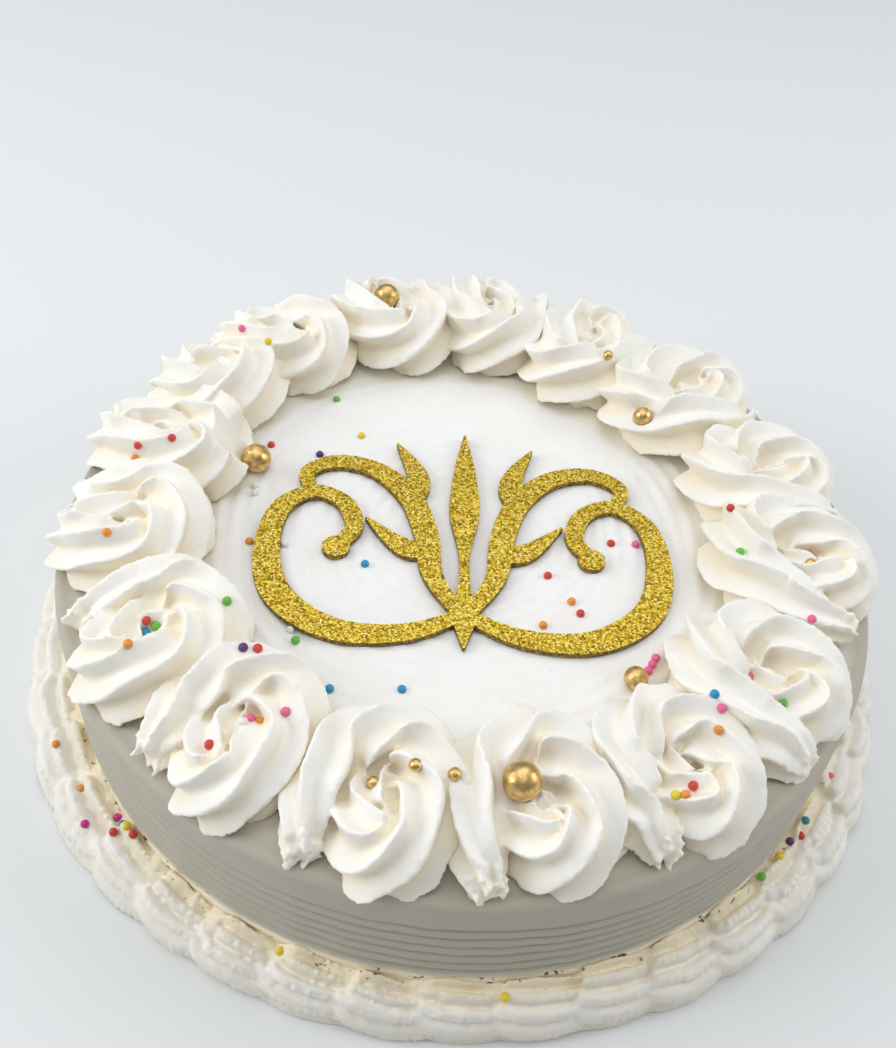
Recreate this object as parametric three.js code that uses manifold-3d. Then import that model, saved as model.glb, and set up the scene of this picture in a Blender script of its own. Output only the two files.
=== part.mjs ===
// Round cream cake: a combed wall, sixteen piped rosettes round the top edge, a piped shell
// border round the foot, a flat gold card flourish, gold sugar pearls and coloured sugar beads.
// Millimetres, +Z up, origin at the middle of the base. -Y is the front.
import * as THREE from 'three';
import { mergeVertices } from 'three/addons/utils/BufferGeometryUtils.js';
import Module from 'manifold-3d';

const wasm = await Module();
wasm.setup();

// ---------------------------------------------------------------- driving dimensions
const GAP = 0.3; // clearance between neighbouring pieces
const CAKE = { radius: 105, height: 50, edgeRound: 2.4, footBevel: 0.6, facets: 36 };
const COMB = { grooves: 7, top: 39, pitch: 3.8, width: 1.3, depth: 0.8 };

// Rosettes: distance from the cake's axis, bearing counterclockwise from +X in degrees, how far
// each is spread towards the axis and away from it, and how far it is turned as a whole. They are
// piped in this order, and each one covers the edge of the one before it.
const ROSETTE_PLACES = [
  [87.5, 262.5, 1.09, 0.93, 0], [87.5, 284, 1.18, 0.84, 0], [87.3, 305, 1.05, 0.9, 4],
  [85.5, 328, 1.22, 0.92, 6], [86, 356, 1.25, 0.93, -18], [85, 18, 1.2, 0.96, -12],
  [85, 44, 1.35, 0.91, -24], [86, 68, 1.38, 0.89, -10], [90, 90, 1.28, 0.9, 0],
  [91, 110.5, 1.3, 0.9, 10], [91.5, 134.5, 1.23, 0.94, 18], [86.5, 151, 0.9, 0.97, 0],
  [85, 170, 1.14, 1.06, -10], [83, 193, 0.87, 1.14, -6], [85, 217.5, 1.05, 1.04, -8],
  [87, 239.5, 1.1, 0.93, 4],
];
const ROSETTE = { ridges: 6, reach: 21, sweep: 165, droop: 5 };
// How one rosette differs from the next: its ridges turn on, and its size varies.
const UNEVEN = { turnStep: 17, sizeStep: 137.5, sizeSpread: 0.02 };
// From the hollow in the middle out to the drooping rim: radius as a share of the reach, height
// of the ridge and depth of the valley beside it.
const ROSETTE_LEVELS = [
  { share: 0.3, height: 16.0, valley: 5.0 },
  { share: 0.6, height: 19.2, valley: 8.0 },
  { share: 0.9, height: 13.5, valley: 6.0 },
  { share: 1.0, height: 4.0, valley: 2.0 },
];
const ROSETTE_HEIGHT = 20;
const HOLLOW_HEIGHT = 10;
const HOLLOW_SHARE = 0.02;
const UNDERSIDE_SHARE = 0.9; // the drooping rim draws in underneath
const RIM_VALLEY = 0.1; // how far the rim draws in between two ridges, as a share of the radius

// Each rosette ends in a tail, a rope that runs down its clockwise side and trails off over the
// cake's edge. Points are outward from the cake's axis, counterclockwise along the ring, and up.
const TAIL_ROUTE = [
  { out: -9, along: -11, up: 8, radius: 9 },
  { out: 2, along: -15.5, up: 7, radius: 8 },
  { out: 13, along: -16, up: 3.5, radius: 4 },
];
const TAIL = { ridges: 3, steps: 2, valley: 0.74, roll: 60 };
// The tail lies on the edge of the rosette before it, so the joint between two rosettes is
// nearer to the first: a share of the turn between their middles.
const JOINT_SHARE = 0.42;

const BORDER = { shells: 39, radius: 121.5, height: 15, tail: 0.76, shoulder: 0.93, firstBearing: 251 };
// The border is narrower at the front: by this share of its width at this bearing, less and less
// over this many degrees to both sides.
const BORDER_SQUEEZE = { share: 0.42, bearing: 268, spread: 50 };
// Section of the border at a shell's head, from its inner foot over three ridges to its outer
// foot: share of the border's width and share of its height.
const BORDER_SECTION = [
  [0, 0], [0, 0.88], [0.16, 1], [0.5, 0.86], [0.64, 0.6], [0.84, 0.6], [0.9, 0.3], [1, 0],
];

// Card flourish: one half is drawn on the right and mirrored. Widths are spread evenly along
// each stroke.
const CARD = { thickness: 1.5, turn: 3, centre: [-1, 0] };
const SCROLL = {
  points: [
    [-1, -30], [14, -37], [32, -37], [46, -27], [50.5, -11], [48, 4], [40, 10], [32, 6], [29, -3],
    [33, -10],
  ],
  widths: [3.5, 6, 7.5, 6, 4.5, 5, 4],
  steps: 17,
  eye: 3.6,
};
const VOLUTE = {
  points: [[1, -31], [8, -18], [10, -4], [15, 10], [25, 20], [36, 22], [43, 17], [41, 10]],
  widths: [3, 6, 6.5, 5.5, 4.5, 3.5],
  steps: 12,
};
const LEAF = { points: [[13, 6], [13, 18], [19, 31]], widths: [2, 6.5, 4.5, 0.6], steps: 6 };
const LEAFLET = { points: [[9, -12], [17, -8], [26, 1]], widths: [2, 6, 4, 0.6], steps: 4 };
const BUD = { points: [[0, -41], [0, -10], [0, 36]], widths: [0.6, 6, 3, 3, 8, 6, 0.6], steps: 9 };

// Sugar pearls: radius, distance from the axis, bearing, and the height of the middle.
const PEARLS = [
  { name: 'pearl_top_left', radius: 4.1, distance: 61.4, bearing: 164.3, level: 53.3 },
  { name: 'pearl_top_front', radius: 2.95, distance: 61.9, bearing: 312.5, level: 52.4 },
  { name: 'pearl_front_rosette', radius: 4.2, distance: 84.7, bearing: 279.8, level: 64.3 },
  { name: 'pearl_back_rosette', radius: 4.1, distance: 92.7, bearing: 109.6, level: 61.5 },
  { name: 'pearl_right_rosette', radius: 2.7, distance: 61.9, bearing: 41, level: 61 },
];

// Sugar beads by distance from the axis and bearing, each dropped onto what lies below it.
const BEAD = { radius: 1.15, sunk: 0.3 };
const UPPER_BEADS = [
  [46.5, 134], [64, 130.5], [49, 151], [62.5, 155.5], [59, 171], [58, 174], [57, 192],
  [48, 194], [30, 212], [56.5, 224], [57.5, 227.5], [62.5, 242.5], [55, 257], [25.5, 326.5],
  [35, 321], [36.5, 303.5], [39, 319], [38, 359.5], [44.5, 0], [60.5, 321.5], [61, 319.5],
  [61.5, 317.5], [79.5, 140.5], [92.5, 140], [79, 174.5], [87, 177], [88, 177], [90, 197.5],
  [86.5, 214.5], [85, 215.5], [87.5, 215.5], [93.5, 220], [69, 218.5], [73.5, 229.5], [71, 231],
  [94.5, 238], [86, 239], [84, 239], [82.5, 240], [80, 243.5], [94, 299.5], [95, 300.5],
  [93.5, 302.5], [87.5, 309.5], [83.5, 313.5], [80.5, 314], [91, 323], [81.5, 324.5],
  [88.5, 341], [68.5, 349.5], [88, 355], [65.5, 359.5],
];
const UPPER_PEARL_BEADS = [[86, 259.5], [83.5, 265], [83, 270.5], [70, 58.5], [87, 353]];
const PEARL_BEAD_RADIUS = 1.5;
const BORDER_BEADS = [
  [112.8, 208.6], [110.6, 215.8], [113.5, 220.7], [109.3, 224.3], [106.5, 222.3], [106.5, 223.9],
  [106.5, 225.4], [106.5, 251.4], [108.1, 278.9], [106.5, 316.8], [106.6, 321], [106.5, 324.4],
  [108.6, 337.4],
];

const CREAM = new THREE.MeshStandardMaterial({ color: 0xf3eee2, roughness: 0.55 });
const COMBED_CREAM = new THREE.MeshStandardMaterial({ color: 0xe9e3d6, roughness: 0.6 });
const GOLD_CARD = new THREE.MeshStandardMaterial({ color: 0xc79a1e, roughness: 0.4, metalness: 0.8 });
const GOLD_SUGAR = new THREE.MeshStandardMaterial({ color: 0xc9a04e, roughness: 0.3, metalness: 0.9 });

// ---------------------------------------------------------------- solids
function polar(distance, bearing, height = 0) {
  const angle = THREE.MathUtils.degToRad(bearing);
  return new THREE.Vector3(distance * Math.cos(angle), distance * Math.sin(angle), height);
}

// A skin over a row of closed sections. A loop joins the last to the first, and an open row
// is capped at both ends.
function skin(sections, loop = false) {
  const count = sections[0].length;
  const positions = sections.flat().flatMap((point) => point.toArray());
  const indices = [];
  const bands = loop ? sections.length : sections.length - 1;
  for (let band = 0; band < bands; band++) {
    const here = band * count;
    const next = ((band + 1) % sections.length) * count;
    for (let side = 0; side < count; side++) {
      const other = (side + 1) % count;
      indices.push(here + side, here + other, next + other);
      indices.push(here + side, next + other, next + side);
    }
  }
  if (!loop) {
    for (const [row, forward] of [[0, false], [sections.length - 1, true]]) {
      const centre = positions.length / 3;
      const middle = sections[row].reduce((sum, p) => sum.add(p), new THREE.Vector3());
      positions.push(...middle.divideScalar(count).toArray());
      for (let side = 0; side < count; side++) {
        const edge = [row * count + side, row * count + ((side + 1) % count)];
        if (!forward) edge.reverse();
        indices.push(edge[0], edge[1], centre);
      }
    }
  }
  const geometry = new THREE.BufferGeometry();
  geometry.setAttribute('position', new THREE.Float32BufferAttribute(positions, 3));
  geometry.setIndex(enclosedVolume(positions, indices) > 0 ? indices : indices.reverse());
  return geometry;
}

// Positive where the faces point out.
function enclosedVolume(positions, indices) {
  const corner = (i) => new THREE.Vector3().fromArray(positions, indices[i] * 3);
  let volume = 0;
  for (let i = 0; i < indices.length; i += 3) {
    volume += corner(i).dot(corner(i + 1).cross(corner(i + 2))) / 6;
  }
  return volume;
}

function toSolid(geometry) {
  const bare = geometry.clone();
  bare.deleteAttribute('normal');
  bare.deleteAttribute('uv');
  const merged = mergeVertices(bare, 1e-4);
  const solid = new wasm.Manifold(new wasm.Mesh({
    numProp: 3,
    vertProperties: Float32Array.from(merged.attributes.position.array),
    triVerts: Uint32Array.from(merged.index.array),
  }));
  return solid;
}

function toGeometry(solid) {
  const mesh = solid.getMesh();
  const geometry = new THREE.BufferGeometry();
  geometry.setAttribute('position', new THREE.BufferAttribute(mesh.vertProperties, 3));
  geometry.setIndex(new THREE.BufferAttribute(mesh.triVerts, 1));
  geometry.computeVertexNormals();
  return geometry;
}

function largestPart(solid) {
  const parts = solid.decompose();
  return parts.reduce((best, part) => (part.volume() > best.volume() ? part : best));
}

// ---------------------------------------------------------------- cake
function cakeProfile(grow, combed) {
  const { radius, height, edgeRound, footBevel } = CAKE;
  const wall = radius + grow;
  const profile = [[0, -grow], [wall - footBevel, -grow], [wall, footBevel - grow]];
  if (combed) {
    for (let groove = COMB.grooves - 1; groove >= 0; groove--) {
      const level = COMB.top - groove * COMB.pitch;
      profile.push([wall, level - COMB.width / 2]);
      profile.push([wall - COMB.depth, level]);
      profile.push([wall, level + COMB.width / 2]);
    }
  }
  const shoulder = edgeRound * (1 - Math.SQRT1_2);
  profile.push([wall, height + grow - edgeRound]);
  profile.push([wall - shoulder, height + grow - shoulder]);
  profile.push([wall - edgeRound, height + grow], [0, height + grow]);
  return profile.map(([r, z]) => new THREE.Vector2(r, z));
}

function turned(profile, facets) {
  return new THREE.LatheGeometry(profile, facets).rotateX(Math.PI / 2);
}

// ---------------------------------------------------------------- rosettes
function rosetteFrame([distance, bearing, , , turned]) {
  const turn = new THREE.Matrix4().makeRotationZ(THREE.MathUtils.degToRad(bearing + turned));
  return new THREE.Matrix4().makeTranslation(polar(distance, bearing, CAKE.height)).multiply(turn);
}

// The swirl: ridges that run out from the hollow, turning clockwise, to a drooping rim.
function swirl(phase, scale, inward, outward) {
  const reach = ROSETTE.reach * scale;
  const corners = ROSETTE.ridges * 2;
  const ring = (share, height, valley, rim = share) => Array.from({ length: corners }, (_, i) => {
    const inValley = i % 2;
    const angle = 360 * (i / corners) + phase - ROSETTE.sweep * share;
    const radius = reach * rim * (1 - RIM_VALLEY * inValley * share);
    const corner = polar(radius, angle, height - valley * inValley);
    return corner.setX(corner.x * (corner.x < 0 ? inward : outward));
  });
  const sections = ROSETTE_LEVELS.map(({ share, height, valley }) => ring(share, height, valley));
  sections.unshift(ring(HOLLOW_SHARE, HOLLOW_HEIGHT, 0));
  sections.push(ring(1, -ROSETTE.droop, 0, UNDERSIDE_SHARE));
  return skin(sections);
}

// The tail: a rope with a star section along its route, rolling as it goes.
function tail(scale, inward) {
  const route = new THREE.CatmullRomCurve3(TAIL_ROUTE.map(({ out, along, up }) => (
    new THREE.Vector3(out < 0 ? out * inward : out, along, up).multiplyScalar(scale)
  )));
  const lastStop = TAIL_ROUTE.length - 1;
  const sections = [];
  for (let step = 0; step <= TAIL.steps; step++) {
    const t = step / TAIL.steps;
    const centre = route.getPoint(t);
    const ahead = route.getTangent(t);
    const aside = new THREE.Vector3(0, 0, 1).cross(ahead).normalize();
    const above = ahead.clone().cross(aside);
    const stop = Math.min(Math.floor(t * lastStop), lastStop - 1);
    const [from, to] = [TAIL_ROUTE[stop].radius, TAIL_ROUTE[stop + 1].radius];
    const size = THREE.MathUtils.lerp(from, to, t * lastStop - stop) * scale;
    sections.push(Array.from({ length: TAIL.ridges * 2 }, (_, i) => {
      const angle = THREE.MathUtils.degToRad(180 * (i / TAIL.ridges) + TAIL.roll * t);
      const radius = size * (i % 2 ? TAIL.valley : 1);
      return centre.clone()
        .addScaledVector(aside, radius * Math.cos(angle))
        .addScaledVector(above, radius * Math.sin(angle));
    }));
  }
  return skin(sections);
}

const cakeRoom = toSolid(turned(cakeProfile(GAP, false), CAKE.facets));

// Everything past a flat joint that stands on the cake's axis, on one side of it.
function beyond(bearing, side) {
  const size = CAKE.radius * 3;
  const block = new THREE.BoxGeometry(size, size, size).translate(0, side * (size - GAP) / 2, 0);
  return toSolid(block.rotateZ(THREE.MathUtils.degToRad(bearing)));
}

function rosette(index) {
  const place = ROSETTE_PLACES[index];
  const bearingOf = (i) => ROSETTE_PLACES.at(i % ROSETTE_PLACES.length)[1];
  const turnTo = (bearing) => ((bearing - place[1] + 540) % 360) - 180;
  const wave = Math.sin(THREE.MathUtils.degToRad(index * UNEVEN.sizeStep));
  const scale = 1 + UNEVEN.sizeSpread * wave;
  const [, , inward, outward] = place;
  const rose = toSolid(swirl(index * UNEVEN.turnStep, scale, inward, outward));
  const form = rose.add(toSolid(tail(scale, inward)));
  const trimmed = form.transform(rosetteFrame(place).toArray())
    .subtract(cakeRoom)
    .subtract(beyond(place[1] + turnTo(bearingOf(index + 1)) * JOINT_SHARE, 1))
    .subtract(beyond(place[1] + turnTo(bearingOf(index - 1)) * (1 - JOINT_SHARE), -1));
  return largestPart(trimmed);
}

// ---------------------------------------------------------------- shell border
function squeeze(bearing) {
  const away = ((bearing - BORDER_SQUEEZE.bearing + 540) % 360) - 180;
  return 1 - BORDER_SQUEEZE.share * Math.exp(-((away / BORDER_SQUEEZE.spread) ** 2));
}

function borderRing() {
  const inner = CAKE.radius + GAP;
  const width = BORDER.radius - inner;
  const stations = [
    { at: 0, size: BORDER.tail }, { at: 0.12, size: 1 }, { at: 0.55, size: BORDER.shoulder },
  ];
  const sections = [];
  for (let shell = 0; shell < BORDER.shells; shell++) {
    for (const { at, size } of stations) {
      const bearing = BORDER.firstBearing + (360 * (shell + at)) / BORDER.shells;
      const reach = width * size * squeeze(bearing);
      sections.push(BORDER_SECTION.map(([across, up]) => (
        polar(inner + across * reach, bearing, up * BORDER.height * size)
      )));
    }
  }
  return sections;
}

// ---------------------------------------------------------------- card flourish
// A pen stroke of card: a centre line through its points, with a width at each point.
function penStroke(points, widths, steps) {
  const line = new THREE.CatmullRomCurve3(points.map(([x, y]) => new THREE.Vector3(x, y, 0)));
  const sections = [];
  for (let step = 0; step <= steps; step++) {
    const t = step / steps;
    const centre = line.getPoint(t);
    const ahead = line.getTangent(t);
    const aside = new THREE.Vector3(-ahead.y, ahead.x, 0);
    const stop = Math.min(t * (widths.length - 1), widths.length - 1.001);
    const near = Math.floor(stop);
    const half = THREE.MathUtils.lerp(widths[near], widths[near + 1], stop - near) / 2;
    const left = centre.clone().addScaledVector(aside, half);
    const right = centre.clone().addScaledVector(aside, -half);
    const above = (point) => point.clone().setZ(CARD.thickness);
    sections.push([left, right, above(right), above(left)]);
  }
  return toSolid(skin(sections));
}

function disc([x, y], radius) {
  const geometry = new THREE.CylinderGeometry(radius, radius, CARD.thickness, 12);
  return toSolid(geometry.rotateX(Math.PI / 2).translate(x, y, CARD.thickness / 2));
}

function cardFlourish() {
  const half = [
    penStroke(SCROLL.points, SCROLL.widths, SCROLL.steps),
    penStroke(VOLUTE.points, VOLUTE.widths, VOLUTE.steps),
    penStroke(LEAF.points, LEAF.widths, LEAF.steps),
    penStroke(LEAFLET.points, LEAFLET.widths, LEAFLET.steps),
    disc(SCROLL.points.at(-1), SCROLL.eye),
  ].reduce((sum, stroke) => sum.add(stroke));
  const bud = penStroke(BUD.points, BUD.widths, BUD.steps);
  return half.add(half.mirror([1, 0, 0])).add(bud)
    .rotate([0, 0, CARD.turn])
    .translate([...CARD.centre, CAKE.height + GAP]);
}

// ---------------------------------------------------------------- pearls and beads
// The height of the first surface below a point, on any of the given meshes.
const down = new THREE.Vector3(0, 0, -1);
function surfaceBelow(distance, bearing, meshes) {
  const ray = new THREE.Raycaster(polar(distance, bearing, CAKE.height * 3), down);
  return ray.intersectObjects(meshes)[0];
}

function ball(centre, radius, detail) {
  return new THREE.IcosahedronGeometry(radius, detail).translate(centre.x, centre.y, centre.z);
}

function well({ x, y, z }, radius) {
  const depth = CAKE.height + ROSETTE_HEIGHT - z;
  const shaft = new THREE.CylinderGeometry(radius, radius, depth, 12).rotateX(Math.PI / 2);
  return shaft.translate(x, y, z + depth / 2);
}

function restOn(meshes, [distance, bearing], radius, sunk) {
  const hit = surfaceBelow(distance, bearing, meshes);
  return { mesh: hit.object, centre: hit.point.setZ(hit.point.z + radius * (1 - 2 * sunk)) };
}

// ---------------------------------------------------------------- assembly
const model = new THREE.Group();
function addPiece(name, solid, material) {
  const mesh = new THREE.Mesh(toGeometry(solid), material);
  mesh.name = name;
  mesh.userData.solid = solid;
  model.add(mesh);
  return mesh;
}

function reshape(mesh, solid) {
  mesh.geometry = toGeometry(solid);
  mesh.userData.solid = solid;
}

const cake = addPiece('cake_body', toSolid(turned(cakeProfile(0, true), CAKE.facets)), COMBED_CREAM);
const border = addPiece('shell_border', toSolid(skin(borderRing(), true)), CREAM);
const rosettes = ROSETTE_PLACES.map((_, i) => (
  addPiece(`rosette_${String(i + 1).padStart(2, '0')}`, rosette(i), CREAM)
));
addPiece('card_flourish', cardFlourish(), GOLD_CARD);

// Each pearl has pressed a well into the cream, open to the top.
for (const { name, radius, distance, bearing, level } of PEARLS) {
  const centre = polar(distance, bearing, level);
  const seat = toSolid(ball(centre, radius + GAP, 1)).add(toSolid(well(centre, radius + GAP)));
  for (const mesh of [cake, ...rosettes]) {
    const cut = mesh.userData.solid.subtract(seat);
    if (cut.volume() < mesh.userData.solid.volume() - 1e-3) reshape(mesh, largestPart(cut));
  }
  addPiece(name, toSolid(ball(centre, radius, 1)), GOLD_SUGAR);
}

function fuseBeads(places, meshes, radius) {
  for (const place of places) {
    const { mesh, centre } = restOn(meshes, place, radius, BEAD.sunk);
    reshape(mesh, mesh.userData.solid.add(toSolid(ball(centre, radius, 0))));
  }
}

fuseBeads(UPPER_BEADS, [cake, ...rosettes], BEAD.radius);
fuseBeads(UPPER_PEARL_BEADS, [cake, ...rosettes], PEARL_BEAD_RADIUS);
fuseBeads(BORDER_BEADS, [border], BEAD.radius);

export default model;
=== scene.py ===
"""A round celebration cake: combed cream wall, piped rosettes and border, gold card topper."""

import math

import bmesh
import bpy
import numpy as np
from mathutils import Matrix, Vector
from mathutils.bvhtree import BVHTree


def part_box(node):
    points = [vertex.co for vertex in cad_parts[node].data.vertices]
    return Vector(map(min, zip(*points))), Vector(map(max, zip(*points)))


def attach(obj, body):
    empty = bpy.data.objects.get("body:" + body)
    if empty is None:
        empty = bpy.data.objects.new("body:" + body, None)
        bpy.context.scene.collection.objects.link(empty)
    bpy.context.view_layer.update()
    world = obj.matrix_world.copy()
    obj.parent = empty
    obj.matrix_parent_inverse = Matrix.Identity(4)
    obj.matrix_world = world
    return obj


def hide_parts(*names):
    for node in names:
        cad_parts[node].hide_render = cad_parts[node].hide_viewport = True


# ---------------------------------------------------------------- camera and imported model
# A camera on a low stand looks down on the front of the cake, turned a little on its own axis.
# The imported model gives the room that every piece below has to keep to.
mm = 0.001
camera = bpy.data.objects.new("camera", bpy.data.cameras.new("camera"))
bpy.context.scene.collection.objects.link(camera)
bpy.context.scene.camera = camera
camera.data.sensor_width = 36.0
camera.data.lens = 37.79
camera_spot = Vector((-5.355, -204.13, 257.67)) * mm
camera_tilt = math.radians(90 - 45.275)
camera_roll = math.radians(5.323)
camera.matrix_world = (
    Matrix.Translation(camera_spot)
    @ Matrix.Rotation(camera_tilt, 4, "X")
    @ Matrix.Rotation(camera_roll, 4, "Z")
)
bpy.context.scene.view_settings.view_transform = "Standard"

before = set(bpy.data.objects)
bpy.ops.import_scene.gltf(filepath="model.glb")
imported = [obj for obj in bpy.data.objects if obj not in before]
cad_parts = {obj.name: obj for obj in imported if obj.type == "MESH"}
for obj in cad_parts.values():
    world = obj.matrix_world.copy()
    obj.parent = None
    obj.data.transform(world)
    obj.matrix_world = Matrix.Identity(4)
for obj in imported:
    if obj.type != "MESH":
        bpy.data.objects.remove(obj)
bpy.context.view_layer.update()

# ---------------------------------------------------------------- cake under its combed cream
# A layer cake spread with cream. A toothed scraper has combed level grooves round the wall,
# below a smooth band, and a spatula has left faint rings on the top.
cake_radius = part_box("cake_body")[1].x
cake_top = 50 * mm
foot_bevel = 0.6 * mm
edge_round = 2.4 * mm
comb_grooves = 7
comb_top = 39 * mm
comb_pitch = 3.8 * mm
comb_width = 1.0 * mm
comb_depth = 1.1 * mm
comb_drift = 0.3 * mm
burr_above = 0.95 * mm  # each tooth leaves a fine burr of cream above its groove
burr_height = 0.12 * mm
burr_width = 0.346 * mm
comb_foot = 13 * mm
wall_wave = 0.16 * mm
spatula_pitch = 4.3 * mm
spatula_depth = 0.32 * mm
top_dish = 0.2 * mm
top_grain = 0.03 * mm
border_hides = 12 * mm  # the wall isn't seen below this
rosettes_hide = 68 * mm  # nor the top outside this
cake_sides = 300
wall_step = 0.36 * mm
top_step = 1.05 * mm


def smooth(x):
    """Eases from 0 to 1."""
    x = np.clip(x, 0, 1)
    return x * x * (3 - 2 * x)


def uneven(seed, wavelength, waves=10):
    """A value that wanders smoothly between about -1 and 1 from point to point in space."""
    draw = np.random.default_rng(seed)
    ways = draw.normal(size=(waves, 3))
    ways /= np.linalg.norm(ways, axis=1, keepdims=True)
    ways *= 2 * math.pi / wavelength * draw.uniform(0.6, 1.7, (waves, 1))
    starts = draw.uniform(0, 2 * math.pi, waves)
    return lambda points: np.sin(points @ ways.T + starts).sum(axis=-1) / waves**0.5 / 1.4


def grid_faces(rows, columns, capped=False):
    """Faces of a skin over closed rows of points, each joined to the next."""
    row = np.arange(rows - 1)[:, None] * columns
    here = np.arange(columns)[None, :]
    beside = (here + 1) % columns
    corners = (row + here, row + beside, row + columns + beside, row + columns + here)
    faces = np.stack(corners, -1).reshape(-1, 4).tolist()
    if capped:
        faces.append(list(range(columns))[::-1])
        faces.append(list(range((rows - 1) * columns, rows * columns)))
    return faces


def add_piece(name, points, faces, materials):
    """A smooth-shaded mesh object made of these points and faces."""
    mesh = bpy.data.meshes.new(name)
    mesh.from_pydata(np.reshape(points, (-1, 3)).tolist(), [], faces)
    mesh.update()
    mesh.shade_smooth()
    for material in materials:
        mesh.materials.append(material)
    piece = bpy.data.objects.new(name, mesh)
    bpy.context.scene.collection.objects.link(piece)
    return piece


def new_material(name):
    """A material, its node tree and its Principled shader."""
    material = bpy.data.materials.new(name)
    material.use_nodes = True
    tree = material.node_tree
    return material, tree, tree.nodes["Principled BSDF"]


def cream_group():
    """Whipped cream's colour, yellower in patches, with painted warm shade in its hollows, and its
    fine grain and pits.
    """
    group = bpy.data.node_groups.new("whipped_cream", "ShaderNodeTree")
    face = group.interface
    face.new_socket("Pale", in_out="INPUT", socket_type="NodeSocketColor")
    face.new_socket("Warm", in_out="INPUT", socket_type="NodeSocketColor")
    face.new_socket("Fold_shade", in_out="INPUT", socket_type="NodeSocketColor")
    face.new_socket("Color", in_out="OUTPUT", socket_type="NodeSocketColor")
    face.new_socket("Grain", in_out="OUTPUT", socket_type="NodeSocketFloat")
    nodes, links = group.nodes, group.links
    start, end = nodes.new("NodeGroupInput"), nodes.new("NodeGroupOutput")
    place = nodes.new("ShaderNodeTexCoord")
    patches = nodes.new("ShaderNodeTexNoise")
    patches.inputs["Scale"].default_value = 85
    patches.inputs["Detail"].default_value = 4
    patch_range = nodes.new("ShaderNodeMapRange")
    patch_range.inputs["From Min"].default_value = 0.38
    patch_range.inputs["From Max"].default_value = 0.72
    blend = nodes.new("ShaderNodeMix")
    blend.data_type = "RGBA"
    # Painted shade: a stored mark of how deep in a fold each point lies turns the colour towards a
    # yellower shade colour.
    painted_fold_shade = nodes.new("ShaderNodeAttribute")
    painted_fold_shade.attribute_name = "painted_fold_shade"
    shade_folds = nodes.new("ShaderNodeMix")
    shade_folds.data_type = "RGBA"
    grain = nodes.new("ShaderNodeTexNoise")
    grain.inputs["Scale"].default_value = 1500
    grain.inputs["Detail"].default_value = 3
    grain.inputs["Roughness"].default_value = 0.6
    pits = nodes.new("ShaderNodeTexVoronoi")
    pits.inputs["Scale"].default_value = 330
    pit_range = nodes.new("ShaderNodeMapRange")
    pit_range.inputs["From Min"].default_value = 0.02
    pit_range.inputs["From Max"].default_value = 0.12
    total = nodes.new("ShaderNodeMath")
    total.operation = "ADD"
    for texture in (patches, grain, pits):
        links.new(place.outputs["Object"], texture.inputs["Vector"])
    links.new(patches.outputs["Fac"], patch_range.inputs["Value"])
    links.new(patch_range.outputs["Result"], blend.inputs["Factor"])
    links.new(start.outputs["Pale"], blend.inputs["A"])
    links.new(start.outputs["Warm"], blend.inputs["B"])
    links.new(painted_fold_shade.outputs["Fac"], shade_folds.inputs["Factor"])
    links.new(blend.outputs["Result"], shade_folds.inputs["A"])
    links.new(start.outputs["Fold_shade"], shade_folds.inputs["B"])
    links.new(shade_folds.outputs["Result"], end.inputs["Color"])
    links.new(pits.outputs["Distance"], pit_range.inputs["Value"])
    links.new(grain.outputs["Fac"], total.inputs[0])
    links.new(pit_range.outputs["Result"], total.inputs[1])
    links.new(total.outputs["Value"], end.inputs["Grain"])
    return group


whipped_cream = cream_group()


def cream_material(name, pale, warm, deep, grain_height):
    """Cream that light sinks into a little, with a soft sheen."""
    material, tree, shader = new_material(name)
    cream = tree.nodes.new("ShaderNodeGroup")
    cream.node_tree = whipped_cream
    cream.inputs["Pale"].default_value = (*pale, 1)
    cream.inputs["Warm"].default_value = (*warm, 1)
    # The third colour is painted shade, used deep in folds.
    cream.inputs["Fold_shade"].default_value = (*deep, 1)
    bump = tree.nodes.new("ShaderNodeBump")
    bump.inputs["Strength"].default_value = 0.5
    bump.inputs["Distance"].default_value = grain_height
    tree.links.new(cream.outputs["Grain"], bump.inputs["Height"])
    tree.links.new(bump.outputs["Normal"], shader.inputs["Normal"])
    tree.links.new(cream.outputs["Color"], shader.inputs["Base Color"])
    shader.inputs["Roughness"].default_value = 0.48
    shader.inputs["IOR"].default_value = 1.4
    shader.inputs["Specular IOR Level"].default_value = 0.3
    shader.subsurface_method = "BURLEY"
    shader.inputs["Subsurface Weight"].default_value = 0.45
    shader.inputs["Subsurface Radius"].default_value = (1.0, 0.75, 0.42)
    shader.inputs["Subsurface Scale"].default_value = 1.0 * mm
    return material, tree, shader, cream


def ramp(tree, value, start, end):
    """A node that rises from 0 to 1 while the value goes from start to end."""
    node = tree.nodes.new("ShaderNodeMapRange")
    node.inputs["From Min"].default_value = start
    node.inputs["From Max"].default_value = end
    tree.links.new(value, node.inputs["Value"])
    return node


def tint(tree, base, color, amount):
    """The base colour, which gives way to another where the amount is 1."""
    node = tree.nodes.new("ShaderNodeMix")
    node.data_type = "RGBA"
    node.inputs["B"].default_value = (*color, 1)
    tree.links.new(base, node.inputs["A"])
    tree.links.new(amount, node.inputs["Factor"])
    return node.outputs["Result"]


def axis_distance(tree, place):
    """How far a point of the cake is from its axis."""
    flat = tree.nodes.new("ShaderNodeVectorMath")
    flat.operation = "MULTIPLY"
    flat.inputs[1].default_value = (1, 1, 0)
    length = tree.nodes.new("ShaderNodeVectorMath")
    length.operation = "LENGTH"
    tree.links.new(place.outputs["Object"], flat.inputs[0])
    tree.links.new(flat.outputs["Vector"], length.inputs[0])
    return length.outputs["Value"]


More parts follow.
